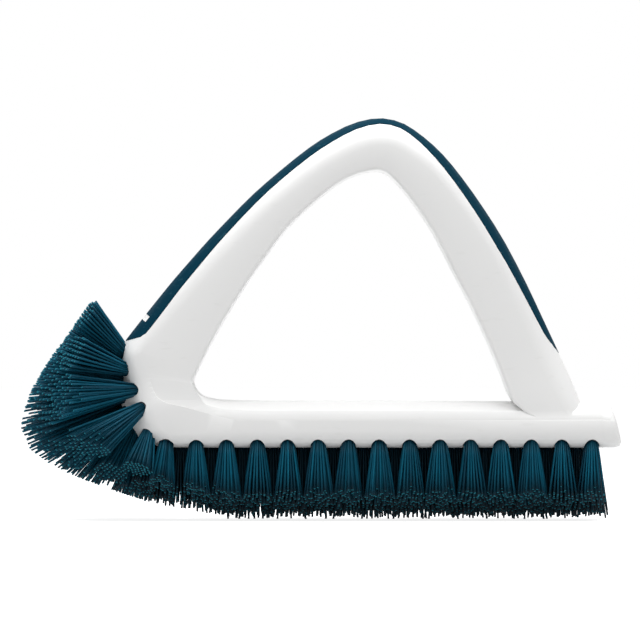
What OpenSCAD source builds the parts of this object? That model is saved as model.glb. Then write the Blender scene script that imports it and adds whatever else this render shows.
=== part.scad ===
// Grout brush with a closed loop handle, a soft grip and tufts that carry on round the nose.
// Millimetres. X runs along the brush with the nose at minus X, Y runs across, Z is up.
// The bristle tips stand on Z = 0 and the long middle plane is Y = 0.

/* [Block] */
// Half width of the tufted block at its side face
block_half_w = 15; // [14:0.5:16]
// Height of the block's underside over the bristle tips
block_bottom_z = 25.9; // [25.9:0.1:26.1]
// Height of the seam between the block and the handle moulding
seam_z = 35.8; // [35.5:0.1:36.2]
// Radius of the long bottom edges
bottom_edge_r = 6; // [5:0.5:7]
// Height of the shoulder's crown
shoulder_z = 42.6; // [42:0.1:43]

/* [Handle] */
// Half width of the flat flank
flank_half_w = 13.2; // [12.8:0.1:13.6]
// How far the shoulder stands back from the block's side at the seam
ledge = 0.5; // [0.2:0.1:0.8]
// Radius of the edge round the hand opening
opening_edge_r = 1.2; // [0.8:0.1:2]

/* [Grip] */
// Thickness of the soft inlay
grip_t = 2.2; // [1.6:0.1:3]
// How far the inlay stands proud of the white spine
grip_proud = 0.15; // [0:0.05:0.4]
// Gap between the inlay and its recess
grip_gap = 0.05; // [0.02:0.01:0.2]
// Scale of the inlay's half width
grip_width_factor = 1; // [0.8:0.05:1.05]

/* [Tufts] */
// Distance between tufts along a row
tuft_pitch = 10.88; // [10.6:0.02:11]
// Diameter of a tuft hole
tuft_hole_d = 5.4; // [5:0.1:5.6]
// Width across one strand's corners
strand_d = 1.15; // [0.9:0.05:1.2]
// Number of sides of a strand
strand_sides = 3; // [3:1:4]
// Flare of a tuft's outer strands from its axis, in degrees
tuft_flare = 6.3; // [5:0.1:6.5]
// Slope of the trimmed V under the brush, in degrees
trim_slope = 29; // [26:1:31]
// Slope of the trimmed V round the nose, in degrees
nose_slope = 38; // [34:1:42]
// How ragged the strand tips are
tip_ragged = 0.9; // [0:0.1:1.5]
// Depth by which the lowest tips are cut flat to stand on
flat_cut = 0.5; // [0.3:0.1:0.6]

/* [Hidden] */
ROWS = ["near", "mid_near", "centre", "mid_far", "far"];
SIDES = [-1, -0.5, 0, 0.5, 1];
NOSE_COUNT = [4, 5, 5, 5, 4];

white = [0.9, 0.9, 0.9];
teal = [0.09, 0.24, 0.29];
bristle_teal = [0.05, 0.29, 0.38];

// Body of the handle and block

// A station is a cross section on a line from its outer point to its inner point:
// [outer x, outer z, inner x, inner z, half width,
//  outer corner width, outer corner depth, inner corner width, inner corner depth].
full = flank_half_w - 0.5;
edge = opening_edge_r;
wide = block_half_w;
shoulder_w = block_half_w - ledge - 0.5;
shoulder_h = shoulder_z - seam_z;
er = bottom_edge_r;
bz = block_bottom_z;
sz = shoulder_z;

BASE_STATIONS = [
    [107.8, bz + 3.3, 105.9, 36.2, wide - 6, 3, 2, 5, 2.5],
    [107.9, bz + 1.7, 105.3, 38.6, wide - 3, 5, 3.5, 9, 4.5],
    [107.2, bz + 0.4, 104.2, 40.8, wide - 1, er, 5, 12, 6],
    [105.6, bz, 102.4, 41.9, wide - 0.2, er, er, shoulder_w, shoulder_h - 0.3],
    [102, bz, 99, sz - 0.3, wide, er, er, shoulder_w, shoulder_h],
    [60, bz, 60, sz - 0.2, wide, er, er, shoulder_w, shoulder_h],
    [20, bz, 20, sz, wide, er, er, shoulder_w, shoulder_h]
];

// The nose and front leg, fanned round the opening's lower front corner
NOSE_STATIONS = [
    [-8, bz, -8, sz, wide, er, er, shoulder_w, shoulder_h],
    [-21, bz, -20, sz, wide, er, er, shoulder_w, shoulder_h],
    [-33, bz, -30, 42.8, wide, er, er, shoulder_w, shoulder_h],
    [-43, bz, -35.5, 43, wide, er + 0.5, er, 13, 6],
    [-51, bz, -39.2, 43.5, wide, er + 1.5, er, 10, 5],
    [-57.5, bz + 0.3, -41.6, 44.1, wide, er + 3, er + 0.3, 6, 3.5],
    [-62.3, bz + 1.5, -43.2, 44.9, wide, er + 4.5, er + 2, 3, 2],
    [-66, bz + 3.6, -44.2, 45.9, wide, 12, 10, 1.5, 1.5],
    [-68.7, bz + 6.5, -44.8, 46.9, wide - 0.1, 13, 11.4, edge, edge],
    [-70.4, 36, -45.2, 47.8, wide - 0.4, 13.6, 11.8, edge, edge],
    [-71.4, 40.5, -45.5, 48.6, wide - 1, 13.3, 11.4, edge, edge],
    [-71.9, 46, -45.6, 49.3, flank_half_w + 0.2, full, 9.8, edge, edge],
    [-72, 51.5, -45.5, 50, flank_half_w, full, 8, edge, edge],
    [-71.9, 56.5, -45.3, 50.7, flank_half_w, full, 6.4, edge, edge],
    [-71.4, 60.7, -45, 51.4, flank_half_w, full, 6.4, edge, edge],
    [-70, 63.9, -44.5, 52.2, flank_half_w, full, 7.6, edge, edge],
    [-64.6, 71, -43, 55.6, flank_half_w, full, 8.6, edge, edge],
    [-58.9, 78.2, -40, 61.6, flank_half_w, full, 9, edge, edge],
    [-53.3, 85.1, -36, 69, flank_half_w, full, 9, edge, edge]
];

// The arch, from the front leg over the crest to the rear foot inside the base
ARCH_STATIONS = [
    [-47.7, 91.6, -31.4, 76.6, flank_half_w, full, 9, edge, edge],
    [-41.2, 99, -26.5, 84.4, flank_half_w, full, 9, edge, edge],
    [-35, 105.6, -20.4, 93.1, flank_half_w, full, 9, edge, edge],
    [-25.2, 115.6, -12.8, 103.4, flank_half_w, full, 9, edge, edge],
    [-16.2, 123.6, -5, 111.2, flank_half_w, full, 9, edge, edge],
    [-5.2, 132.5, 4.2, 119, flank_half_w, full, 9.4, edge, edge],
    [3, 137.9, 10.8, 122.9, flank_half_w, full, 9.8, edge, edge],
    [12.4, 142.4, 16.2, 124.6, flank_half_w, full, 10, edge, edge],
    [21.5, 144.1, 20.4, 125.2, flank_half_w, full, 10, edge, edge],
    [29.5, 142.4, 23.6, 124.3, flank_half_w, full, 9.6, edge, edge],
    [36.5, 137.9, 26.6, 121.7, flank_half_w, full, 9, edge, edge],
    [43.5, 131.7, 30, 118, flank_half_w, full, 8, edge, edge],
    [50.4, 123.5, 34.6, 112, flank_half_w, full, 7.6, edge, edge],
    [58.2, 112.6, 40.8, 102.6, flank_half_w, full, 7.2, edge, edge],
    [66.1, 100.1, 47.3, 89.9, flank_half_w, full, 7, edge, edge],
    [73.9, 85.2, 54.4, 76.2, flank_half_w, full, 7.4, edge, edge],
    [80.1, 72, 60.6, 62.8, flank_half_w, full, 8, edge, edge],
    [86, 59.3, 65.8, 50.2, flank_half_w + 0.1, full, 8.4, edge, edge],
    [90, 50.8, 69.4, 41.8, flank_half_w + 0.6, full + 0.3, 8, edge, edge],
    [93.8, 41.6, 77, 36, flank_half_w + 1.1, full + 0.6, 7, edge, edge],
    [96.6, 33, 80.8, 31, flank_half_w + 1.1, full + 0.6, 6, edge, edge]
];

CURVED = concat(NOSE_STATIONS, ARCH_STATIONS);
LAST = len(CURVED) - 1;
// Index of the shared ring between the two lofts, and of the toe and tail of the grip
SPLIT = len(NOSE_STATIONS) - 1;
TOE = SPLIT - 3;
TAIL = LAST - 3;
STEPS = 2;

function clamp(i, top) = max(0, min(top, i));
function spline(p, s) =
    let (i = clamp(floor(s), len(p) - 2), u = s - i, n = len(p) - 1,
         a = p[clamp(i - 1, n)], b = p[i], c = p[i + 1], d = p[clamp(i + 2, n)])
    ((2 * b) + (c - a) * u + (2 * a - 5 * b + 4 * c - d) * u * u
        + (3 * b - a - 3 * c + d) * u * u * u) / 2;
function station(s) = spline(CURVED, s);

// Corner of a section from the middle flat out to the flank, as [y, depth]
function corner(w, cw, cd, n) =
    [for (k = [0:n]) let (a = 90 * k / n) [w - cw + cw * sin(a), cd * (1 - cos(a))]];
function flip(list) = [for (k = [len(list) - 1:-1:0]) list[k]];
function mirrored(list) = [for (p = flip(list)) [-p[0], p[1]]];

OUTER_STEPS = 6;
INNER_STEPS = 3;
// Section of a station as points on its line, going once round
function section(st) =
    let (d = norm([st[2] - st[0], st[3] - st[1]]),
         outer = corner(st[4], st[5], st[6], OUTER_STEPS),
         inner = [for (p = corner(st[4], st[7], st[8], INNER_STEPS)) [p[0], d - p[1]]])
    concat(outer, flip(inner), mirrored(flip(inner)), mirrored(outer));
function along(st) =
    let (v = [st[2] - st[0], st[3] - st[1]]) v / norm(v);
function place(st, y, depth) =
    let (u = along(st)) [st[0] + u[0] * depth, y, st[1] + u[1] * depth];
function ring(st) = [for (p = section(st)) place(st, p[0], p[1])];

// Closed solid through rings of equal length
module loft(rings) {
    n = len(rings[0]);
    m = len(rings);
    sides = [for (j = [0:m - 2]) for (k = [0:n - 1])
        let (a = j * n + k, b = j * n + (k + 1) % n)
        each [[a, b, b + n], [a, b + n, a + n]]];
    first = [for (k = [n - 1:-1:0]) k];
    last = [for (k = [0:n - 1]) (m - 1) * n + k];
    polyhedron([for (r = rings) each r], concat(sides, [first, last]), convexity = 8);
}

module base_and_nose() {
    loft(concat(
        [for (st = BASE_STATIONS) ring(st)],
        [for (j = [0:SPLIT * STEPS]) ring(station(j / STEPS))]
    ));
}

module arch() {
    loft([for (j = [SPLIT * STEPS:LAST * STEPS]) ring(station(j / STEPS))]);
}

// The seam as seen from the side: level along the base, then up behind the nose
SEAM = [
    [-28, seam_z], [-34.5, 36.7], [-40.7, 38.5], [-48.5, 40.6], [-54.6, 42],
    [-58, 44], [-59.6, 47], [-60.9, 51], [-62.4, 55], [-64.2, 59], [-66.2, 62.6]
];
module block_region() {
    rotate([90, 0, 0])
        linear_extrude(60, center = true)
            polygon(concat(
                [[130, 0], [130, seam_z]],
                [for (j = [0:4 * (len(SEAM) - 1)]) spline(SEAM, j / 4)],
                [[-72, 64], [-80, 64], [-80, 0]]
            ));
}

// Clearance of those limits over the flat flank
FLANK_EASE = 0.02;
// Limits of the handle moulding across: set in from the block at the seam and flat above
module flank_limits() {
    shoulder = block_half_w - ledge;
    flank = flank_half_w + FLANK_EASE;
    side = [
        [shoulder, 20], [shoulder, 37.5], [flank + 0.2, 43], [flank, 48], [flank, 160]
    ];
    translate([-100, 0, 0])
        rotate([90, 0, 90])
            linear_extrude(140)
                polygon(concat(side, mirrored(side)));
    translate([39, -shoulder, 0])
        cube([80, 2 * shoulder, 160]);
}

// Grip

// Half width of the inlay at each step from the toe to the tail, as a share of the flank's
GRIP_W = [
    [0, 0.89], [1, 0.88], [2, 0.865], [3, 0.835], [4, 0.82], [6, 0.775], [8, 0.735],
    [10, 0.72], [11, 0.675], [12, 0.63], [13, 0.635], [14, 0.705], [15, 0.79], [16, 0.825],
    [17, 0.865], [18, 0.885], [19, 0.81], [20, 0.72], [21, 0.68]
];
// Ends of the inlay on the stations, and the lengths of its rounded ends
GRIP_RANGE = [TOE + 0.05, TAIL - 0.05];
TOE_ROUND = 0.7;
TAIL_ROUND = 0.9;
// Window near the toe through which the white spine shows
WINDOW_AT = TOE + 1.26;
WINDOW_SIZE = [2.5, 16.4];
WINDOW_REACH = [3, 6.5];

function crown_depth(st, y) =
    let (flat = st[4] - st[5], v = max(0, (abs(y) - flat) / st[5]))
    st[6] * (1 - sqrt(max(0, 1 - v * v)));
function end_round(x) = sqrt(max(0.03, 1 - pow(1 - min(1, max(0, x)), 2)));
function grip_half(s, range, round_start, round_end) =
    grip_width_factor * flank_half_w * lookup(s - TOE, GRIP_W)
    * (round_start > 0 ? end_round((s - range[0]) / round_start) : 1)
    * (round_end > 0 ? end_round((range[1] - s) / round_end) : 1);
GRIP_ACROSS = 4;
function grip_ring(s, half, top, floor) =
    let (st = station(s))
    concat(
        [for (k = [-GRIP_ACROSS:GRIP_ACROSS])
            let (y = half * k / GRIP_ACROSS) place(st, y, crown_depth(st, y) + top)],
        [for (k = [GRIP_ACROSS:-1:-GRIP_ACROSS])
            let (y = half * k / GRIP_ACROSS) place(st, y, crown_depth(st, y) + floor)]
    );
function grip_steps(range, round_start, round_end) =
    let (a = range[0] + max(round_start, 0), b = range[1] - max(round_end, 0),
         n = max(1, round((b - a) * STEPS)))
    concat(
        round_start > 0 ? [for (k = [0:4]) range[0] + round_start * (1 - cos(18 * k))] : [],
        [for (k = [0:n]) a + (b - a) * k / n],
        round_end > 0 ? [for (k = [0:4]) range[1] - round_end * (1 - cos(72 - 18 * k))] : []
    );
module grip_solid(grow, top, floor) {
    loft([for (s = grip_steps(GRIP_RANGE, TOE_ROUND, TAIL_ROUND))
        grip_ring(s, grip_half(s, GRIP_RANGE, TOE_ROUND, TAIL_ROUND) + grow, top, floor)]);
}
module grip_window(grow) {
    st = station(WINDOW_AT);
    u = along(st);
    w = WINDOW_SIZE - 2 * [grow, grow];
    translate(place(st, 0, 0))
        rotate([0, atan2(u[0], u[1]), 0])
            translate([-w[0] / 2, -w[1] / 2, -WINDOW_REACH[0]])
                cube([w[0], w[1], WINDOW_REACH[0] + WINDOW_REACH[1]]);
}

// Tufts

// Trimmed ridge of the centre tufts as seen from the side
RIDGE = [
    [-60, 96], [-82.8, 77], [-97.6, 56.5], [-104.4, 45], [-108, 33.1], [-104, 24.8],
    [-98.3, 20.5], [-88.2, 15.5], [-83.9, 13.7], [-70.6, 9], [-58.7, 5.4], [-44.6, 2.5],
    [-32.4, 0], [130, 0]
];
// Distance along a ray to one leg of the ridge, or a large number when it misses
function leg_hit(p, d, a, b) =
    let (e = b - a, w = a - p, den = d[0] * e[1] - d[1] * e[0],
         t = den == 0 ? -1 : (w[0] * e[1] - w[1] * e[0]) / den,
         u = den == 0 ? -1 : (w[0] * d[1] - w[1] * d[0]) / den)
    t > 0 && u >= 0 && u <= 1 ? t : 1000;
function ridge_hit(p, d) =
    min([for (k = [0:len(RIDGE) - 2]) leg_hit(p, d, RIDGE[k], RIDGE[k + 1])]);
// Length of a strand from its root to the V that rises on both sides of the ridge
function strand_length(p, d, slope) =
    let (flat = norm([d[0], d[2]]),
         t = ridge_hit([p[0], p[2]], [d[0], d[2]] / flat) / flat,
         k = tan(slope) * 0.95,
         reach = p[1] + d[1] * t)
    t - k * abs(reach) / (1 + k * abs(d[1]));

// A tuft is [root centre, unit direction, slope of its trim, seed]
STRANDS = 5;
ROOT_SPREAD = 1.1;
TUFT_TURN = 32;
// Sideways part of a direction below which a strand counts as lying in the middle plane
LEVEL = 0.0001;
// Far-side directions are mirrored from the near side
function mirror_sign(d) = d[1] > LEVEL ? -1 : 1;
// Two directions across a tuft's axis, turned a little about it
function cross_frame(d) =
    let (a = cross(d, [0, 1, 0]), b = a / norm(a), c = cross(d, b),
         side = mirror_sign(d), t = abs(d[1]) > LEVEL ? side * TUFT_TURN : 0)
    [b * cos(t) + c * sin(t), side * (c * cos(t) - b * sin(t))];
function strand_dirs(tuft) =
    let (d = tuft[1], f = cross_frame(d), g = tan(tuft_flare))
    [for (k = [0:STRANDS - 1])
        let (a = 90 * k, m = k == 4 ? 0 : 1, off = m * (f[0] * cos(a) + f[1] * sin(a)),
             v = d + g * off)
        [tuft[0] + ROOT_SPREAD * off, v / norm(v)]];
// Strand as [foot, tip, frame], its lowest tips cut flat on the ground
function strands(tuft) =
    let (dirs = strand_dirs(tuft), rag = rands(-1, 1, STRANDS, tuft[3]))
    [for (k = [0:STRANDS - 1])
        let (p = dirs[k][0], d = dirs[k][1],
             middle = abs(tuft[1][1]) < LEVEL,
             base = strand_length(p, d, tuft[2]) + flat_cut,
             len = base + tip_ragged * (middle && k == 4 ? 0.2 : rag[middle ? k % 3 : k] - 0.7))
        [p, p + d * len, cross_frame(d), d]];

module strand(s) {
    n = strand_sides;
    f = s[2];
    offs = [for (k = [0:n - 1]) let (a = mirror_sign(s[3]) * 360 * k / n)
        (f[0] * cos(a) + f[1] * sin(a)) * strand_d / 2];
    foot = [for (o = offs) s[0] + o];
    tip = [for (o = offs)
        let (q = s[1] + o) q[2] < 0 ? q - s[3] * (q[2] / s[3][2]) : q];
    polyhedron(concat(foot, tip), concat(
        [[for (k = [0:n - 1]) k], [for (k = [n - 1:-1:0]) n + k]],
        [for (k = [0:n - 1]) let (m = (k + 1) % n) [k, n + k, n + m, m]]
    ));
}

// Straight rows under the block: root height, lateral place and splay
ROW_ROOT_Z = 33;
ROW_START = -55.1;
ROW_COUNT = [15, 15, 15, 15, 15];
ROW_Y = 0.8 * block_half_w;
ROW_MID_Y = 0.4133 * block_half_w;
ROW_SPLAY = 9;
FIRST_LEAN = [6, 12, 6, 12, 6];
STRIP_W = 4.3;
STRIP_H = 2.6;
STRIP_GAP = 0.15;
STRIP_Z = ROW_ROOT_Z - 1;
function row_stagger(r) = r % 2 == 1 ? -tuft_pitch / 2 : 0;
function row_y(r) = sign(SIDES[r]) * (abs(SIDES[r]) == 1 ? ROW_Y : ROW_MID_Y) * (r == 2 ? 0 : 1);
function row_x(r, k) = ROW_START + row_stagger(r) + tuft_pitch * k;
function row_dir(r, k) =
    let (a = ROW_SPLAY * SIDES[r], lean = k == 0 ? tan(FIRST_LEAN[r]) : 0,
         v = [-lean, tan(a), -1])
    v / norm(v);
function row_root(r, k) =
    let (d = row_dir(r, k), up = (ROW_ROOT_Z - block_bottom_z) / -d[2])
    [row_x(r, k), row_y(r), block_bottom_z] - d * up;
function row_tuft(r, k) = [row_root(r, k), row_dir(r, k), trim_slope, 100 * min(r, 4 - r) + k];
function strip_y(r) = row_root(r, 1)[1];

// Tufts round the nose, per row from the bottom up:
// [height on the nose, angle of the axis, place across as a share of the half width]
NOSE_OUTER = [[28.2, -74, 0.81], [36.8, -36, 0.89], [46, -4, 0.85], [54.4, 19, 0.72]];
NOSE_MID = [
    [31.5, -63, 0.45], [37.8, -36, 0.46], [44, -10, 0.48], [50, 14, 0.42], [60.2, 45, 0.45]
];
NOSE_CENTRE = [[28, -76, 0], [34.6, -49, 0], [41, -23, 0], [47.6, 2, 0], [56.4, 29, 0]];
NOSE_SPLAY = [-24, -12, 0, 12, 24];
NOSE_HOLE_DEPTH = 3;
PAD_T = 1.2;
PAD_GAP = 0.1;
nose_hole_d = tuft_hole_d - 0.6;
NOSE_TABLE = [for (j = [4 * STEPS:TOE * STEPS]) let (st = station(j / STEPS)) [st[1], j / STEPS]];
function nose_list(r) = r == 2 ? NOSE_CENTRE : abs(SIDES[r]) == 1 ? NOSE_OUTER : NOSE_MID;
function nose_dir(r, k) =
    let (a = nose_list(r)[k][1], y = NOSE_SPLAY[r])
    [-cos(a) * cos(y), sin(y), sin(a) * cos(y)];
function nose_surface(r, k) =
    let (t = nose_list(r)[k], st = station(lookup(t[0], NOSE_TABLE)),
         y = sign(SIDES[r]) * t[2] * st[4])
    place(st, y, crown_depth(st, y));
function nose_root(r, k) =
    nose_surface(r, k) - nose_dir(r, k) * (NOSE_HOLE_DEPTH - PAD_GAP - PAD_T / 2);
function nose_tuft_of(r, k) =
    [nose_root(r, k), nose_dir(r, k), nose_slope, 1000 + 10 * min(r, 4 - r) + k];

// Cylinder along a direction, from a point
module rod(p, d, h, dia, sides = 24) {
    az = atan2(d[1], d[0]);
    tilt = acos(d[2]);
    translate(p)
        rotate([0, tilt, az])
            cylinder(h = h, d = dia, $fn = sides);
}

module tuft_holes() {
    for (r = [0:4]) for (k = [0:ROW_COUNT[r] - 1])
        rod(row_root(r, k), row_dir(r, k), 14, tuft_hole_d, 16);
    for (r = [0:4]) for (k = [0:NOSE_COUNT[r] - 1])
        let (d = nose_dir(r, k), p = nose_surface(r, k))
        rod(p - d * NOSE_HOLE_DEPTH, d, 12, nose_hole_d, 16);
}

// Channels in the block's upper face that hold the root strips; their front ends are
// tunnels where the seam rises
CHANNEL_OPEN_X = -26;
module root_channels() {
    w = STRIP_W + 2 * STRIP_GAP;
    for (r = [0:4]) {
        x0 = row_root(r, 0)[0] - w / 2;
        x1 = row_root(r, ROW_COUNT[r] - 1)[0] + w / 2;
        translate([x0, strip_y(r) - w / 2, STRIP_Z - STRIP_GAP])
            cube([x1 - x0, w, STRIP_H + 2 * STRIP_GAP]);
        translate([CHANNEL_OPEN_X, strip_y(r) - w / 2, STRIP_Z - STRIP_GAP])
            cube([x1 - CHANNEL_OPEN_X, w, 2 * STRIP_H]);
    }
}

module handle() {
    color(white)
        union() {
            intersection() {
                difference() {
                    union() {
                        base_and_nose();
                        arch();
                    }
                    block_region();
                    difference() {
                        grip_solid(grip_gap, -4, grip_t + grip_gap);
                        grip_window(grip_gap);
                    }
                }
                flank_limits();
            }
            lid_ribs();
        }
}

// Ribs under the handle that sit in the channels and hold the root strips down
LID_RIB_X = [0, 60];
module lid_ribs() {
    top = STRIP_Z + STRIP_H + STRIP_GAP;
    for (r = [0:4]) for (x = LID_RIB_X)
        hull()
            for (dx = [0, 8])
                translate([x + dx, strip_y(r) - STRIP_W / 2, top])
                    cube([4, STRIP_W, seam_z + 1 - top]);
}

module brush_block() {
    color(white)
        union() {
            difference() {
                intersection() {
                    base_and_nose();
                    block_region();
                }
                root_channels();
                tuft_holes();
            }
        }
}

module grip_strip() {
    color(teal)
        difference() {
            grip_solid(0, -grip_proud, grip_t);
            grip_window(0);
        }
}

module strip_slice(r, k) {
    translate([row_root(r, k)[0] - STRIP_W / 2, strip_y(r) - STRIP_W / 2, STRIP_Z])
        cube([STRIP_W, STRIP_W, STRIP_H]);
}

module tuft_row(r) {
    color(bristle_teal)
        union() {
            for (k = [0:ROW_COUNT[r] - 2])
                hull() {
                    strip_slice(r, k);
                    strip_slice(r, k + 1);
                }
            for (k = [0:ROW_COUNT[r] - 1])
                for (s = strands(row_tuft(r, k)))
                    strand(s);
        }
}

module nose_tuft(r, k) {
    d = nose_dir(r, k);
    color(bristle_teal)
        union() {
            rod(nose_root(r, k) - d * PAD_T / 2, d, PAD_T, nose_hole_d - 2 * PAD_GAP);
            for (s = strands(nose_tuft_of(r, k)))
                strand(s);
        }
}

handle();
brush_block();
grip_strip();
for (r = [0:4])
    tuft_row(r);
for (r = [0:4]) for (k = [0:NOSE_COUNT[r] - 1])
    nose_tuft(r, k);
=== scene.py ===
"""Dressed scene of a grout brush: white closed-loop handle, dark soft grip, teal tufts.

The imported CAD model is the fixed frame. The handle, block and grip keep their CAD shape
and get their finish here. Every tuft node is replaced by full tufts of round filaments
with the roots and directions of the source, trimmed to the outline of the photograph.
Blender's lengths are in metres; the sizes of the tufts are in millimetres, as in the source.
"""

from __future__ import annotations

import logging
import math
import random
from dataclasses import dataclass, field
from enum import Enum
from typing import Iterable, Sequence

import bpy
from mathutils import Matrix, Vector

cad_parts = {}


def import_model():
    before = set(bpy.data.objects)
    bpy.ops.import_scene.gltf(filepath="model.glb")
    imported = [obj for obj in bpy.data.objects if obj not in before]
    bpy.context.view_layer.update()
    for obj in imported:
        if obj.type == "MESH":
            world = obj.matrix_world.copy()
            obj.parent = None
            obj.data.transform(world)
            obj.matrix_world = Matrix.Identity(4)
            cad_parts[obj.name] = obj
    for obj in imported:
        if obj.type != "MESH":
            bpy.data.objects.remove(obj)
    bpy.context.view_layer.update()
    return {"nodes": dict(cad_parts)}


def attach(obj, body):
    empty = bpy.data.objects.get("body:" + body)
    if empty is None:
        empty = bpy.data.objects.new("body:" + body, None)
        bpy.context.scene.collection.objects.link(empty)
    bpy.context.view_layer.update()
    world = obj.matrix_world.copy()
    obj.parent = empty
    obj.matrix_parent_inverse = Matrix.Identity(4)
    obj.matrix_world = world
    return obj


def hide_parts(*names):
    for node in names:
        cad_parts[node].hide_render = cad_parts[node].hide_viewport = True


LOG = logging.getLogger("grout_brush")
MM = 0.001

Colour = tuple[float, float, float]
Place = tuple[float, float, float]


class Row(Enum):
    """A row of tufts along the brush, by its place across it."""

    NEAR = 0
    MID_NEAR = 1
    CENTRE = 2
    MID_FAR = 3
    FAR = 4

    @property
    def side(self) -> float:
        """Place across the brush, from -1 at the near side to 1 at the far side."""
        return (self.value - 2) / 2

    @property
    def label(self) -> str:
        """Name of the row inside the node names."""
        return self.name.lower()

    @property
    def outermost(self) -> bool:
        """Whether the row is one of the two at the sides."""
        return abs(self.side) == 1

    @property
    def staggered(self) -> bool:
        """Whether the row stands half a pitch behind its neighbours."""
        return self.value % 2 == 1


class Slot(Enum):
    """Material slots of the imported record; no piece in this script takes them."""

    BRISTLE = "bristle"


# --------------------------------------------------------------------------------------
# Node groups and small node helpers
# --------------------------------------------------------------------------------------


class NodeSheet:
    """A node tree with short calls for adding and joining nodes."""

    def __init__(self, tree: bpy.types.NodeTree) -> None:
        """Wraps a tree.

        Args:
            tree: The node tree to fill.
        """
        self.tree = tree
        self._column = 0

    def add(self, kind: str, **values: object) -> bpy.types.Node:
        """Adds one node.

        Args:
            kind: Blender's type name of the node.
            **values: Properties to set on it.

        Returns:
            The new node.
        """
        made = self.tree.nodes.new(kind)
        made.location = (self._column * 190, 0)
        self._column += 1
        for name, value in values.items():
            setattr(made, name, value)
        return made

    def join(self, source: bpy.types.NodeSocket, target: bpy.types.NodeSocket) -> None:
        """Links one socket to another."""
        self.tree.links.new(source, target)

    def value(self, target: bpy.types.NodeSocket, given: object) -> None:
        """Sets a socket from a number, or links it when a socket is given."""
        if isinstance(given, bpy.types.NodeSocket):
            self.join(given, target)
        else:
            target.default_value = given

    def math(self, operation: str, first: object, second: object = 0.0) -> bpy.types.NodeSocket:
        """Adds a maths node.

        Args:
            operation: Blender's name of the operation.
            first: First number or socket.
            second: Second number or socket.

        Returns:
            The output socket.
        """
        made = self.add("ShaderNodeMath", operation=operation)
        self.value(made.inputs[0], first)
        self.value(made.inputs[1], second)
        return made.outputs[0]

    def attribute(self, name: str) -> bpy.types.NodeSocket:
        """Reads one of the mesh's own attributes as a number."""
        return self.add("ShaderNodeAttribute", attribute_name=name).outputs["Fac"]

    def relief(self, height: bpy.types.NodeSocket, strength: float, distance: float,
               shader: bpy.types.Node) -> None:
        """Gives a shader a bumpy surface.

        Args:
            height: Socket with the height.
            strength: Share of the bump from 0 to 1.
            distance: Depth of the relief in metres.
            shader: The shader node.
        """
        bump = self.add("ShaderNodeBump")
        bump.inputs["Strength"].default_value = strength
        bump.inputs["Distance"].default_value = distance
        self.join(height, bump.inputs["Height"])
        self.join(bump.outputs["Normal"], shader.inputs["Normal"])

    def spread(
        self, source: bpy.types.NodeSocket, low: float, high: float, to_low: float, to_high: float
    ) -> bpy.types.NodeSocket:
        """Maps a range of values onto another, clamped.

        Args:
            source: Socket with the value.
            low: Start of its range.
            high: End of its range.
            to_low: Value given at the start.
            to_high: Value given at the end.

        Returns:
            The output socket.
        """
        made = self.add("ShaderNodeMapRange")
        self.join(source, made.inputs["Value"])
        for name, number in (
            ("From Min", low),
            ("From Max", high),
            ("To Min", to_low),
            ("To Max", to_high),
        ):
            made.inputs[name].default_value = number
        return made.outputs["Result"]

    def blend(self, factor: object, first: object, second: object) -> bpy.types.NodeSocket:
        """Mixes two colours.

        Args:
            factor: Number or socket from 0, the first colour, to 1, the second.
            first: Colour or socket.
            second: Colour or socket.

        Returns:
            The output socket.
        """
        made = self.add("ShaderNodeMix", data_type="RGBA")
        self.value(made.inputs["Factor"], factor)
        colours = [socket for socket in made.inputs if socket.type == "RGBA"]
        for socket, given in zip(colours, (first, second)):
            self.value(socket, (*given, 1.0) if isinstance(given, tuple) else given)
        return next(socket for socket in made.outputs if socket.type == "RGBA")


@dataclass(frozen=True)
class GroupSocket:
    """One named socket of a node group."""

    name: str
    kind: str
    is_input: bool = True
    default: float = 0.0


class EffectGroup:
    """A shader node group that several finishes share."""

    def __init__(self, name: str, sockets: Sequence[GroupSocket]) -> None:
        """Makes an empty group with its sockets.

        Args:
            name: Name of the group.
            sockets: Its named inputs and outputs.
        """
        self.tree = bpy.data.node_groups.new(name, "ShaderNodeTree")
        for socket in sockets:
            made = self.tree.interface.new_socket(
                name=socket.name,
                in_out="INPUT" if socket.is_input else "OUTPUT",
                socket_type=socket.kind,
            )
            if socket.is_input and socket.kind == "NodeSocketFloat":
                made.default_value = socket.default
        self.sheet = NodeSheet(self.tree)
        self.given = self.sheet.add("NodeGroupInput")
        self.result = self.sheet.add("NodeGroupOutput")

    def place(self, sheet: NodeSheet, **values: object) -> bpy.types.Node:
        """Places the group in a material.

        Args:
            sheet: The material's node sheet.
            **values: Input values by name, with spaces written as underscores.

        Returns:
            The group node.
        """
        made = sheet.add("ShaderNodeGroup")
        made.node_tree = self.tree
        for name, given in values.items():
            sheet.value(made.inputs[name.replace("_", " ").capitalize()], given)
        return made


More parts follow.
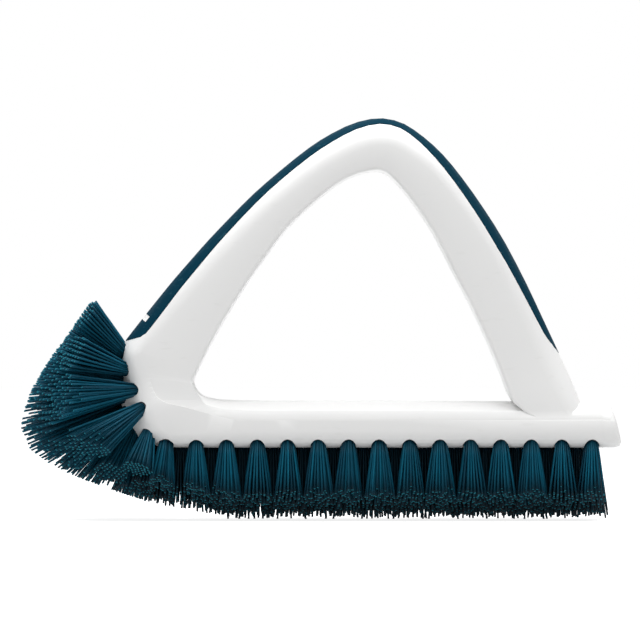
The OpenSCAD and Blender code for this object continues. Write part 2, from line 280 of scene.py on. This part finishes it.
def moulded_grain() -> EffectGroup:
    """Builds the fine spark-eroded grain of a moulding, with its long soft waves.

    Returns:
        A group with a Height and a Mask that both change over the surface.
    """
    group = EffectGroup(
        "Moulded grain",
        [
            GroupSocket("Grain size", "NodeSocketFloat", default=1500.0),
            GroupSocket("Wave size", "NodeSocketFloat", default=40.0),
            GroupSocket("Wave share", "NodeSocketFloat", default=0.4),
            GroupSocket("Height", "NodeSocketFloat", is_input=False),
            GroupSocket("Mask", "NodeSocketFloat", is_input=False),
        ],
    )
    sheet, given, result = group.sheet, group.given, group.result
    place = sheet.add("ShaderNodeTexCoord").outputs["Object"]
    grain = sheet.add("ShaderNodeTexNoise")
    grain.inputs["Detail"].default_value = 3.0
    sheet.join(place, grain.inputs["Vector"])
    sheet.join(given.outputs["Grain size"], grain.inputs["Scale"])
    wave = sheet.add("ShaderNodeTexNoise")
    wave.inputs["Detail"].default_value = 1.0
    sheet.join(place, wave.inputs["Vector"])
    sheet.join(given.outputs["Wave size"], wave.inputs["Scale"])
    share = sheet.math("MULTIPLY", wave.outputs["Fac"], given.outputs["Wave share"])
    height = sheet.math("ADD", grain.outputs["Fac"], share)
    sheet.join(height, result.inputs["Height"])
    sheet.join(sheet.spread(wave.outputs["Fac"], 0.3, 0.7, 0.0, 1.0), result.inputs["Mask"])
    return group


def handling_marks() -> EffectGroup:
    """Builds faint short scuffs and specks, as moulded plastic gets in its box.

    Returns:
        A group with a Marks mask.
    """
    group = EffectGroup(
        "Handling marks",
        [
            GroupSocket("Mark size", "NodeSocketFloat", default=260.0),
            GroupSocket("Rarity", "NodeSocketFloat", default=0.66),
            GroupSocket("Marks", "NodeSocketFloat", is_input=False),
        ],
    )
    sheet, given, result = group.sheet, group.given, group.result
    place = sheet.add("ShaderNodeTexCoord").outputs["Object"]
    stretch = sheet.add("ShaderNodeMapping")
    stretch.inputs["Scale"].default_value = (0.35, 1.0, 1.6)
    stretch.inputs["Rotation"].default_value = (0.2, 0.5, 0.1)
    sheet.join(place, stretch.inputs["Vector"])
    specks = sheet.add("ShaderNodeTexNoise")
    specks.inputs["Detail"].default_value = 4.0
    sheet.join(stretch.outputs["Vector"], specks.inputs["Vector"])
    sheet.join(given.outputs["Mark size"], specks.inputs["Scale"])
    over = sheet.math("SUBTRACT", specks.outputs["Fac"], given.outputs["Rarity"])
    sheet.join(sheet.spread(over, 0.0, 0.1, 0.0, 1.0), result.inputs["Marks"])
    return group


@dataclass
class Effects:
    """The node groups shared by the finishes."""

    grain: EffectGroup = field(default_factory=moulded_grain)
    marks: EffectGroup = field(default_factory=handling_marks)


# --------------------------------------------------------------------------------------
# Finishes
# --------------------------------------------------------------------------------------


def new_material(name: str) -> tuple[bpy.types.Material, NodeSheet, bpy.types.Node]:
    """Starts a material with one Principled shader.

    Args:
        name: Name of the material.

    Returns:
        The material, its node sheet and its Principled node.
    """
    material = bpy.data.materials.new(name)
    material.use_nodes = True
    shader = material.node_tree.nodes["Principled BSDF"]
    return material, NodeSheet(material.node_tree), shader


def set_shader(shader: bpy.types.Node, **values: float) -> None:
    """Sets plain numbers on a Principled node, by socket name with underscores."""
    for name, number in values.items():
        shader.inputs[name.replace("_", " ")].default_value = number


@dataclass(frozen=True)
class SatinWhitePlastic:
    """White moulded plastic of the handle and block: satin, very finely grained."""

    colour: Colour = (0.86, 0.86, 0.855)
    worn_colour: Colour = (0.83, 0.83, 0.822)
    roughness: tuple[float, float] = (0.34, 0.44)
    grain_height: float = 0.000012
    grain_strength: float = 0.35
    scuff_dulling: float = 0.06

    def material(self, effects: Effects) -> bpy.types.Material:
        """Builds the material.

        Args:
            effects: The shared node groups.

        Returns:
            The white plastic.
        """
        material, sheet, shader = new_material("Satin white plastic")
        grain = effects.grain.place(sheet, grain_size=1700.0, wave_size=28.0, wave_share=1.2)
        marks = effects.marks.place(sheet, mark_size=320.0, rarity=0.63)
        colour = sheet.blend(marks.outputs["Marks"], self.colour, self.worn_colour)
        sheet.join(colour, shader.inputs["Base Color"])
        low, high = self.roughness
        rough = sheet.spread(grain.outputs["Mask"], 0.0, 1.0, low, high)
        dull = sheet.math("MULTIPLY", marks.outputs["Marks"], self.scuff_dulling)
        sheet.join(sheet.math("ADD", rough, dull), shader.inputs["Roughness"])
        sheet.relief(grain.outputs["Height"], self.grain_strength, self.grain_height, shader)
        set_shader(shader, IOR=1.49, Specular_IOR_Level=0.45)
        return material


@dataclass(frozen=True)
class SoftTouchRubber:
    """Dark teal over-moulded rubber of the grip: matte, with a fine even grain."""

    colour: Colour = (0.001, 0.029, 0.052)
    rubbed_colour: Colour = (0.01, 0.05, 0.075)
    roughness: tuple[float, float] = (0.5, 0.66)
    grain_height: float = 0.00004
    grain_strength: float = 0.5

    def material(self, effects: Effects) -> bpy.types.Material:
        """Builds the material.

        Args:
            effects: The shared node groups.

        Returns:
            The soft-touch rubber.
        """
        material, sheet, shader = new_material("Soft dark teal rubber")
        grain = effects.grain.place(sheet, grain_size=2600.0, wave_size=70.0, wave_share=0.3)
        marks = effects.marks.place(sheet, mark_size=500.0, rarity=0.6)
        colour = sheet.blend(marks.outputs["Marks"], self.colour, self.rubbed_colour)
        sheet.join(colour, shader.inputs["Base Color"])
        low, high = self.roughness
        rough = sheet.spread(grain.outputs["Mask"], 0.0, 1.0, low, high)
        sheet.join(rough, shader.inputs["Roughness"])
        sheet.relief(grain.outputs["Height"], self.grain_strength, self.grain_height, shader)
        set_shader(shader, IOR=1.5, Specular_IOR_Level=0.02)
        return material


@dataclass(frozen=True)
class TealFilament:
    """Stiff teal filament: satin along its side, with painted shade near the roots, in the inner
    rows and towards the tips, paler where it is cut.
    """

    dark: Colour = (0.0012, 0.034, 0.06)
    light: Colour = (0.002, 0.1, 0.165)
    cut: Colour = (0.02, 0.19, 0.25)
    # root is the colour of painted shade: filaments are painted darker towards it near their
    # roots, in the inner rows and towards the tips, where shade falls in the brush.
    root: Colour = (0.0003, 0.005, 0.009)
    root_share: float = 0.25
    root_shade_strength: float = 0.6
    cut_show: float = 0.8
    roughness: tuple[float, float] = (0.44, 0.58)
    cut_roughness: float = 0.25
    grain_height: float = 0.00001
    grain_strength: float = 0.3

    def material(self, effects: Effects) -> bpy.types.Material:
        """Builds the material.

        Args:
            effects: The shared node groups.

        Returns:
            The filament material, which reads the tufts' own attributes.
        """
        material, sheet, shader = new_material("Teal filament")
        ends = sheet.attribute("cut_end")
        grain = effects.grain.place(sheet, grain_size=3800.0, wave_size=600.0, wave_share=0.5)
        own = sheet.blend(sheet.attribute("tint"), self.dark, self.light)
        # Painted shade: the filament is painted darker over the first quarter of its length from
        # the root, where it stands in shade under the block, and by its painted shade attribute.
        root_shade = sheet.spread(sheet.attribute("along"), 0.0, self.root_share,
                             self.root_shade_strength, 0.0)
        shade = sheet.math("MAXIMUM", root_shade, sheet.attribute("painted_shade"))
        shaded = sheet.blend(shade, own, self.root)
        shown = sheet.blend(sheet.math("MULTIPLY", ends, self.cut_show), shaded, self.cut)
        sheet.join(shown, shader.inputs["Base Color"])
        low, high = self.roughness
        rough = sheet.spread(grain.outputs["Mask"], 0.0, 1.0, low, high)
        rougher = sheet.math("MULTIPLY", ends, self.cut_roughness)
        sheet.join(sheet.math("ADD", rough, rougher), shader.inputs["Roughness"])
        sheet.relief(grain.outputs["Height"], self.grain_strength, self.grain_height, shader)
        set_shader(shader, IOR=1.5, Specular_IOR_Level=0.1)
        return material


# --------------------------------------------------------------------------------------
# Tufts
# --------------------------------------------------------------------------------------


@dataclass(frozen=True)
class TrimmedV:
    """The trimmed shape of the bristles: a ridge seen from the side, a V seen endways."""

    ridge: tuple[tuple[float, float], ...] = (
        (-60, 96), (-82.8, 77), (-97.6, 56.5), (-104.4, 45), (-108, 33.1), (-104, 24.8),
        (-98.3, 20.5), (-88.2, 15.5), (-83.9, 13.7), (-70.6, 9), (-58.7, 5.4), (-44.6, 2.5),
        (-32.4, 0), (130, 0),
    )
    slope_angle: float = 29.0
    slope_share: float = 0.95
    ridge_round: float = 1.5
    flat_half_y: float = 0.0
    top_flat_half_y: float = 0.0
    flat_grows: tuple[float, float] = (38.0, 60.0)

    def flat(self, height: float) -> float:
        """Half width of the ridge before the V starts, at a height."""
        low, high = self.flat_grows
        share = min(1.0, max(0.0, (height - low) / (high - low)))
        return self.flat_half_y + (self.top_flat_half_y - self.flat_half_y) * share

    @property
    def slope(self) -> float:
        """Rise of the V for each millimetre across."""
        return math.tan(math.radians(self.slope_angle)) * self.slope_share

    def hit(self, point: Vector, flat: Vector) -> tuple[float, Vector]:
        """Finds where a ray in the side view meets the ridge.

        Args:
            point: Start of the ray as (x, z), in millimetres.
            flat: Unit direction of the ray as (x, z).

        Returns:
            The distance, and the ridge's outward normal there as (x, z).
        """
        best, normal = math.inf, Vector((0, -1))
        for start, end in zip(self.ridge, self.ridge[1:]):
            leg = Vector(end) - Vector(start)
            to_leg = Vector(start) - point
            det = flat.x * leg.y - flat.y * leg.x
            if abs(det) < 1e-9:
                continue
            far = (to_leg.x * leg.y - to_leg.y * leg.x) / det
            share = (to_leg.x * flat.y - to_leg.y * flat.x) / det
            if far > 0 and 0 <= share <= 1 and far < best:
                best = far
                normal = Vector((leg.y, -leg.x)).normalized()
                if normal.dot(flat) < 0:
                    normal.negate()
        return best, normal

    def cut(self, point: Vector, way: Vector) -> tuple[float, Vector]:
        """Finds where a filament is trimmed.

        Args:
            point: Its foot, in millimetres.
            way: Its unit direction.

        Returns:
            Its length in millimetres, and the outward normal of the cut.
        """
        flat = Vector((way.x, way.z))
        size = flat.length
        far, normal = self.hit(Vector((point.x, point.z)), flat / size)
        far /= size
        reach = point.y + way.y * far
        beyond = max(0.0, abs(reach) - self.flat(point.z + way.z * far))
        length = far - self.slope * beyond / (1 + self.slope * abs(way.y))
        side = self.slope * min(1.0, max(-1.0, reach / self.ridge_round))
        return length, Vector((normal.x, side, normal.y)).normalized()


@dataclass(frozen=True)
class Filament:
    """One round filament of a tuft, in millimetres.

    Its painted shade runs from 0, in the light, to 1, painted dark as deep inside the brush where
    shade falls; the tip's painted shade is what it rises to at the tip.
    """

    foot: Vector
    tip: Vector
    bow: Vector
    cut_normal: Vector
    radius: float
    tint: float
    painted_shade: float
    tip_painted_shade: float


@dataclass(frozen=True)
class Unevenness:
    """How much the filaments of a tuft differ, as ranges of what is drawn for each."""

    lean: tuple[float, float] = (0.93, 1.06)
    stray: tuple[float, float] = (-0.009, 0.009)
    usual_trim: tuple[float, float] = (-1.4, 0.5)
    short_trim: tuple[float, float] = (-2.8, -1.0)
    usual_share: float = 0.85
    bow_out: tuple[float, float] = (-0.1, 0.25)
    bow_along: tuple[float, float] = (-0.08, 0.08)
    tint: tuple[float, float] = (0.5, 0.2)
    girth: tuple[float, float] = (0.94, 1.04)

    def trim(self, rng: random.Random) -> float:
        """Draws how far past the trimmed shape a filament ends, in millimetres."""
        if rng.random() < self.usual_share:
            return rng.uniform(*self.usual_trim)
        return rng.uniform(*self.short_trim)


@dataclass(frozen=True)
class Tuft:
    """One punched tuft: where it leaves its hole, its axis and its size, in millimetres."""

    mouth: Vector
    axis: Vector
    hole_radius: float
    seed: int
    sunk: float = 2.4
    count: int = 44
    flare: float = 9.0
    filament_radius: float = 0.365
    ragged: float = 1.0
    reach_y: float = 26.7
    wall_gap: float = 0.06
    floor_gap: float = 0.05
    # Painted shade: the first value darkens the whole filament, for shade deep inside the brush;
    # the second is what the painted shade rises to at the tip, for the shaded tips.
    painted_shade: float = 0.0
    tip_painted_shade: float = 0.85
    uneven: Unevenness = Unevenness()

    def across(self) -> tuple[Vector, Vector]:
        """Two unit directions square to the axis."""
        first = self.axis.cross(Vector((0, 1, 0))).normalized()
        return first, self.axis.cross(first)

    def packing(self) -> list[Vector]:
        """Places of the filaments across the hole.

        Returns:
            The places nearest the middle of a close packing, out to a radius of 1.
        """
        row_gap = math.sqrt(0.75)
        off_x, off_y = 0.21, 0.13
        reach_steps = range(-9, 10)
        step = math.sqrt(math.pi / (self.count * row_gap))
        grid = [
            Vector(((i + 0.5 * (j % 2) + off_x) * step, (j + off_y) * step * row_gap))
            for j in reach_steps
            for i in reach_steps
        ]
        grid.sort(key=lambda place: (round(place.length, 6), place.x, place.y))
        chosen = grid[: self.count]
        reach = max(place.length for place in chosen)
        return [place / reach for place in chosen]

    def filaments(self, trim: TrimmedV) -> list[Filament]:
        """Fans the filaments out of the hole and trims them.

        Args:
            trim: The shape that they are trimmed to.

        Returns:
            The filaments.
        """
        rng = random.Random(self.seed)
        uneven = self.uneven
        first, second = self.across()
        turn = rng.uniform(0, math.tau)
        cos, sin = math.cos(turn), math.sin(turn)
        spread = self.hole_radius - self.filament_radius - self.wall_gap
        flare = math.tan(math.radians(self.flare))
        made: list[Filament] = []
        for place in self.packing():
            off = first * (place.x * cos - place.y * sin) \
                + second * (place.x * sin + place.y * cos)
            lean = flare * rng.uniform(*uneven.lean)
            stray = first * rng.uniform(*uneven.stray) + second * rng.uniform(*uneven.stray)
            way = (self.axis + off * lean + stray).normalized()
            foot = self.mouth + off * spread - self.axis * self.sunk
            length, normal = trim.cut(foot, way)
            length += uneven.trim(rng) * self.ragged
            tip, normal = self.kept_in(foot, foot + way * length, normal)
            bow = off * rng.uniform(*uneven.bow_out) + first * rng.uniform(*uneven.bow_along)
            tint = min(1.0, max(0.0, rng.gauss(*uneven.tint)))
            radius = self.filament_radius * rng.uniform(*uneven.girth)
            made.append(Filament(foot, tip, bow, normal, radius, tint, self.painted_shade,
                                 self.tip_painted_shade))
        return made

    def kept_in(self, foot: Vector, tip: Vector, normal: Vector) -> tuple[Vector, Vector]:
        """Shortens a filament that would pass the floor or the widest trim at the sides.

        Args:
            foot: Its foot.
            tip: Its tip.
            normal: Outward normal of its cut.

        Returns:
            The tip and the normal that it ends with.
        """
        if tip.z < self.floor_gap:
            tip = foot.lerp(tip, (foot.z - self.floor_gap) / (foot.z - tip.z))
            normal = Vector((0, 0, -1))
        over = (abs(tip.y) - self.reach_y) / max(abs(tip.y - foot.y), 0.01)
        if over > 0:
            tip = tip.lerp(foot, over)
        return tip, normal


class FilamentMesh:
    """Collects filaments and turns them into one mesh with its own attributes."""

    sides = 6
    stations = (0.0, 0.3, 0.62, 0.86, 1.0)
    tip_share = 0.62
    least_slant = 0.3

    def __init__(self) -> None:
        """Starts an empty mesh."""
        self.points: list[Vector] = []
        self.faces: list[tuple[int, ...]] = []
        self.tints: list[float] = []
        self.alongs: list[float] = []
        self.painted_shades: list[float] = []
        self.ends: list[float] = []

    def add(self, strand: Filament) -> None:
        """Adds one filament as a closed tube, cut on its trimming plane.

        Args:
            strand: The filament.
        """
        way = (strand.tip - strand.foot).normalized()
        first = way.cross(Vector((0.2, 1, 0.1))).normalized()
        second = way.cross(first)
        start = len(self.points)
        for place in self.stations:
            near_tip = max(0.0, (place - self.tip_share) / (1 - self.tip_share))
            middle = strand.foot.lerp(strand.tip, place) + strand.bow * (4 * place * (1 - place))
            for k in range(self.sides):
                angle = math.tau * k / self.sides
                off = (first * math.cos(angle) + second * math.sin(angle)) * strand.radius
                if place == 1.0:
                    slant = way.dot(strand.cut_normal)
                    if slant > self.least_slant:
                        off -= way * (off.dot(strand.cut_normal) / slant)
                self.points.append((middle + off) * MM)
                self.tints.append(strand.tint)
                # Painted shade: the filament's painted darkness, rising over its last part
                # towards the tip, where shade falls.
                self.painted_shades.append(max(strand.painted_shade, strand.tip_painted_shade * near_tip))
                self.alongs.append(place)
        n, rings = self.sides, len(self.stations)
        for ring in range(rings - 1):
            base = start + ring * n
            for k in range(n):
                after = (k + 1) % n
                self.faces.append((base + k, base + after, base + n + after, base + n + k))
                self.ends.append(0.0)
        last = start + (rings - 1) * n
        self.faces.append(tuple(last + k for k in range(n)))
        self.ends.append(1.0)
        self.faces.append(tuple(start + k for k in reversed(range(n))))
        self.ends.append(0.0)

    def build(self, name: str, material: bpy.types.Material) -> bpy.types.Object:
        """Makes the object.

        Args:
            name: Name of the piece.
            material: Its finish.

        Returns:
            The new object, linked to the scene.
        """
        mesh = bpy.data.meshes.new(name)
        mesh.from_pydata(self.points, [], self.faces)
        by_point = {"tint": self.tints, "along": self.alongs, "painted_shade": self.painted_shades}
        for label, values in by_point.items():
            mesh.attributes.new(label, "FLOAT", "POINT").data.foreach_set("value", values)
        mesh.attributes.new("cut_end", "FLOAT", "FACE").data.foreach_set("value", self.ends)
        mesh.polygons.foreach_set("use_smooth", [end == 0.0 for end in self.ends])
        mesh.materials.append(material)
        mesh.validate()
        made = bpy.data.objects.new(name, mesh)
        bpy.context.scene.collection.objects.link(made)
        return made


def dress_tuft_node(node: str, name: str, tufts: Iterable[Tuft], trim: TrimmedV,
                    material: bpy.types.Material) -> bpy.types.Object:
    """Replaces a CAD tuft node by its full tufts.

    Args:
        node: The CAD node.
        name: Name of the new piece.
        tufts: The tufts in it.
        trim: The trimmed shape.
        material: The filament material.

    Returns:
        The new piece.
    """
    mesh = FilamentMesh()
    for tuft in tufts:
        for strand in tuft.filaments(trim):
            mesh.add(strand)
    piece = mesh.build(name, material)
    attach(piece, "root")
    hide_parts(node)
    return piece


@dataclass
class StraightRows:
    """The five straight rows of tufts under the block, in millimetres."""

    trim: TrimmedV
    material: bpy.types.Material
    pitch: float = 10.88
    start: float = -55.1
    count: int = 15
    outer_y: float = 12.0
    middle_y: float = 6.2
    underside_z: float = 25.9
    splay: float = 9.0
    first_lean: float = 6.0
    hole_radius: float = 2.7
    # Painted shade: the four inner rows are painted this much darker, for the shade between the
    # tufts.
    inner_painted_shade: float = 0.9
    seeds_a_row: int = 100

    def lateral(self, row: Row) -> float:
        """Place of a row across the brush at the underside."""
        size = self.outer_y if row.outermost else self.middle_y
        return 0.0 if row is Row.CENTRE else math.copysign(size, row.side)

    def tufts(self, row: Row) -> list[Tuft]:
        """Lays out one row.

        Args:
            row: The row.

        Returns:
            Its tufts from the nose to the back.
        """
        shift = -self.pitch / 2 if row.staggered else 0.0
        first_lean = math.tan(math.radians(self.first_lean * (2 if row.staggered else 1)))
        # Only the inner rows get painted shade; the outer rows are left as lit.
        painted_shade = 0.0 if row.outermost else self.inner_painted_shade
        made = []
        for k in range(self.count):
            lean = first_lean if k == 0 else 0.0
            axis = Vector((-lean, math.tan(math.radians(self.splay * row.side)), -1))
            mouth = Vector((self.start + shift + self.pitch * k, self.lateral(row),
                            self.underside_z))
            seed = self.seeds_a_row * row.value + k
            made.append(Tuft(mouth, axis.normalized(), self.hole_radius, seed, painted_shade=painted_shade))
        return made

    def build(self) -> list[bpy.types.Object]:
        """Builds the five rows.

        Returns:
            The pieces.
        """
        return [
            dress_tuft_node(f"tuft_row_{row.label}", f"bristle_row_{row.label}",
                            self.tufts(row), self.trim, self.material)
            for row in Row
        ]


@dataclass
class NoseTufts:
    """The single tufts that carry on round the nose."""

    trim: TrimmedV
    material: bpy.types.Material
    nodes: dict[str, bpy.types.Object]
    outer: tuple[float, ...] = (-74, -36, -4, 19)
    middle: tuple[float, ...] = (-63, -36, -10, 14, 45)
    centre: tuple[float, ...] = (-76, -49, -23, 2, 29)
    splay: float = 24.0
    hole_radius: float = 2.4
    sunk: float = 2.2
    pad_depth: float = 2.9
    pad_flatness: float = 0.05
    count: int = 48
    flare: float = 13.0
    top_flare: float = 9.5
    top_angle: float = 40.0
    ragged: float = 0.15
    # Painted shade at the tips of tufts that point downwards, rising with how steeply they point
    # down.
    tip_painted_shade_below: float = 0.8
    first_seed: int = 1000
    seeds_a_row: int = 10

    def angles(self, row: Row) -> tuple[float, ...]:
        """Axis angles of a row's tufts from the bottom up, in degrees above level."""
        if row is Row.CENTRE:
            return self.centre
        return self.middle if row.staggered else self.outer

    def tuft(self, row: Row, number: int, angle: float) -> Tuft:
        """Finds one tuft's hole from its CAD node.

        Args:
            row: Its row.
            number: Its number from the bottom up.
            angle: Angle of its axis in degrees above level.

        Returns:
            The tuft.
        """
        up, out = math.radians(angle), math.radians(self.splay * row.side)
        axis = Vector((-math.cos(up) * math.cos(out), math.sin(out),
                       math.sin(up) * math.cos(out)))
        node = self.nodes[f"nose_tuft_{row.label}_{number}"]
        points = [vertex.co / MM for vertex in node.data.vertices]
        lowest = min(point.dot(axis) for point in points)
        base = [point for point in points if point.dot(axis) < lowest + self.pad_flatness]
        pad = sum(base, Vector()) / len(base)
        return Tuft(
            pad + axis * self.pad_depth,
            axis,
            self.hole_radius,
            self.first_seed + self.seeds_a_row * row.value + number,
            sunk=self.sunk,
            count=self.count,
            flare=self.top_flare if angle > self.top_angle else self.flare,
            ragged=self.ragged,
            tip_painted_shade=max(0.0, -self.tip_painted_shade_below * axis.z),
        )

    def build(self) -> list[bpy.types.Object]:
        """Builds every nose tuft.

        Returns:
            The pieces.
        """
        return [
            dress_tuft_node(f"nose_tuft_{row.label}_{k}", f"nose_bristles_{row.label}_{k}",
                            [self.tuft(row, k, angle)], self.trim, self.material)
            for row in Row
            for k, angle in enumerate(self.angles(row), start=1)
        ]


# --------------------------------------------------------------------------------------
# Handle, block and grip
# --------------------------------------------------------------------------------------


@dataclass
class MouldedBody:
    """The CAD handle, block and grip with their finishes."""

    nodes: dict[str, bpy.types.Object]
    white: bpy.types.Material
    rubber: bpy.types.Material
    crease_angle: float = 34.0
    weld_distance: float = 0.000002
    smoother_name: str = "Smooth by crease"

    def soften(self, target: bpy.types.Object) -> None:
        """Shades a node smoothly, with its real edges kept sharp.

        Args:
            target: The CAD node's object.
        """
        modifier = target.modifiers.new(self.smoother_name, "NODES")
        modifier.node_group = bpy.data.node_groups.get(self.smoother_name) or self._smoother()

    def _smoother(self) -> bpy.types.NodeTree:
        """Builds the geometry group that marks edges sharp by their angle."""
        tree = bpy.data.node_groups.new(self.smoother_name, "GeometryNodeTree")
        for way in ("INPUT", "OUTPUT"):
            tree.interface.new_socket(name="Geometry", in_out=way,
                                      socket_type="NodeSocketGeometry")
        sheet = NodeSheet(tree)
        given, result = sheet.add("NodeGroupInput"), sheet.add("NodeGroupOutput")
        merge = sheet.add("GeometryNodeMergeByDistance")
        merge.inputs["Distance"].default_value = self.weld_distance
        faces = sheet.add("GeometryNodeSetShadeSmooth", domain="FACE")
        edges = sheet.add("GeometryNodeSetShadeSmooth", domain="EDGE")
        angle = sheet.add("GeometryNodeInputMeshEdgeAngle")
        sharp = sheet.add("FunctionNodeCompare", data_type="FLOAT", operation="LESS_EQUAL")
        sharp.inputs[1].default_value = math.radians(self.crease_angle)
        sheet.join(given.outputs[0], merge.inputs["Geometry"])
        sheet.join(merge.outputs["Geometry"], faces.inputs["Geometry"])
        sheet.join(faces.outputs["Geometry"], edges.inputs["Geometry"])
        sheet.join(angle.outputs["Unsigned Angle"], sharp.inputs[0])
        sheet.join(sharp.outputs["Result"], edges.inputs["Shade Smooth"])
        sheet.join(edges.outputs["Geometry"], result.inputs[0])
        return tree

    def dress(self) -> list[str]:
        """Gives each rigid node its finish.

        Returns:
            The names of the nodes.
        """
        finishes = {"handle": self.white, "brush_block": self.white,
                    "grip_strip": self.rubber}
        for name, material in finishes.items():
            target = self.nodes[name]
            target.data.materials.clear()
            target.data.materials.append(material)
            self.soften(target)
        return list(finishes)


# --------------------------------------------------------------------------------------
# Studio
# --------------------------------------------------------------------------------------


@dataclass(frozen=True)
class SoftBox:
    """One soft area lamp."""

    name: str
    place: Place
    aim: Place
    size: tuple[float, float]
    watts: float

    def build(self) -> None:
        """Makes the lamp."""
        lamp = bpy.data.lights.new(self.name, "AREA")
        lamp.shape = "RECTANGLE"
        lamp.size, lamp.size_y = self.size
        lamp.energy = self.watts
        made = bpy.data.objects.new(self.name, lamp)
        made.location = self.place
        way = Vector(self.aim) - Vector(self.place)
        made.rotation_euler = way.to_track_quat("-Z", "Y").to_euler()
        bpy.context.scene.collection.objects.link(made)


@dataclass
class Studio:
    """Camera, floor, world and lamps of a plain white product shot."""

    distance: float = 1.6
    centre_z: float = 0.0716
    lens: float = 250.0
    sensor_width: float = 36.0
    clip_range: tuple[float, float] = (0.05, 50.0)
    floor_size: float = 6.0
    floor_z: float = -0.0004
    floor_colour: Colour = (0.7, 0.7, 0.7)
    floor_glow: float = 0.82
    ambient: float = 0.26
    lamps: tuple[SoftBox, ...] = (
        SoftBox("overhead", (0.0, -0.1, 0.9), (0.0, 0.0, 0.05), (1.0, 0.8), 12.8),
        SoftBox("front_fill", (-0.35, -1.05, 1.05), (0.0, 0.0, 0.06), (1.0, 0.8), 0.5),
    )

    def camera(self) -> None:
        """Places the camera square to the side of the brush."""
        data = bpy.data.cameras.new("side_camera")
        data.lens = self.lens
        data.sensor_width = self.sensor_width
        data.clip_start, data.clip_end = self.clip_range
        made = bpy.data.objects.new("side_camera", data)
        made.location = (0.0, -self.distance, self.centre_z)
        made.rotation_euler = (math.radians(90), 0, 0)
        bpy.context.scene.collection.objects.link(made)
        bpy.context.scene.camera = made

    @staticmethod
    def seen(sheet: NodeSheet) -> bpy.types.NodeSocket:
        """Finds whether a ray only looks, and doesn't carry light.

        Args:
            sheet: The node sheet to add to.

        Returns:
            A socket with 1 for camera, glossy and transmission rays.
        """
        light = sheet.add("ShaderNodeLightPath")
        found = sheet.math("MAXIMUM", light.outputs["Is Camera Ray"],
                           light.outputs["Is Glossy Ray"])
        return sheet.math("MAXIMUM", found, light.outputs["Is Transmission Ray"])

    def world(self) -> None:
        """Makes a world that is white to look at and grey as a light."""
        world = bpy.data.worlds.new("White sweep")
        world.use_nodes = True
        world.node_tree.nodes.clear()
        sheet = NodeSheet(world.node_tree)
        strength = sheet.spread(self.seen(sheet), 0.0, 1.0, self.ambient, 1.0)
        back = sheet.add("ShaderNodeBackground")
        back.inputs["Color"].default_value = (1, 1, 1, 1)
        sheet.join(strength, back.inputs["Strength"])
        sheet.join(back.outputs[0], sheet.add("ShaderNodeOutputWorld").inputs["Surface"])
        bpy.context.scene.world = world

    def floor(self) -> None:
        """Lays the pale floor, which is white to the camera apart from the shadow."""
        half = self.floor_size / 2
        mesh = bpy.data.meshes.new("floor")
        corners = [(-half, -half, 0), (half, -half, 0), (half, half, 0), (-half, half, 0)]
        mesh.from_pydata(corners, [], [(0, 1, 2, 3)])
        material, sheet, shader = new_material("Pale floor")
        set_shader(shader, Roughness=0.9, Specular_IOR_Level=0.0)
        shader.inputs["Base Color"].default_value = (*self.floor_colour, 1)
        glow = sheet.add("ShaderNodeEmission")
        glow.inputs["Strength"].default_value = self.floor_glow
        both = sheet.add("ShaderNodeAddShader")
        pick = sheet.add("ShaderNodeMixShader")
        sheet.join(shader.outputs[0], both.inputs[0])
        sheet.join(glow.outputs[0], both.inputs[1])
        sheet.join(self.seen(sheet), pick.inputs[0])
        sheet.join(shader.outputs[0], pick.inputs[1])
        sheet.join(both.outputs[0], pick.inputs[2])
        sheet.join(pick.outputs[0], material.node_tree.nodes["Material Output"].inputs[0])
        mesh.materials.append(material)
        made = bpy.data.objects.new("floor", mesh)
        made.location = (0, 0, self.floor_z)
        bpy.context.scene.collection.objects.link(made)

    def build(self) -> None:
        """Builds the whole studio."""
        self.camera()
        self.world()
        self.floor()
        for lamp in self.lamps:
            lamp.build()
        bpy.context.scene.view_settings.view_transform = "Standard"


def main() -> None:
    """Builds the studio, the moulded body and the bristles in order."""
    logging.basicConfig(level=logging.INFO, format="%(message)s")
    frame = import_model()
    Studio().build()
    effects = Effects()
    body = MouldedBody(frame["nodes"], SatinWhitePlastic().material(effects),
                       SoftTouchRubber().material(effects))
    for name in body.dress():
        LOG.info("dressed %s", name)
    filament = TealFilament().material(effects)
    nose_trim = TrimmedV(slope_angle=40.0, flat_half_y=2.5, top_flat_half_y=11.0)
    rows = StraightRows(TrimmedV(), filament)
    nose = NoseTufts(nose_trim, filament, frame["nodes"])
    for piece in (*rows.build(), *nose.build()):
        LOG.info("built %s with %d faces", piece.name, len(piece.data.polygons))


if __name__ == "__main__":
    main()
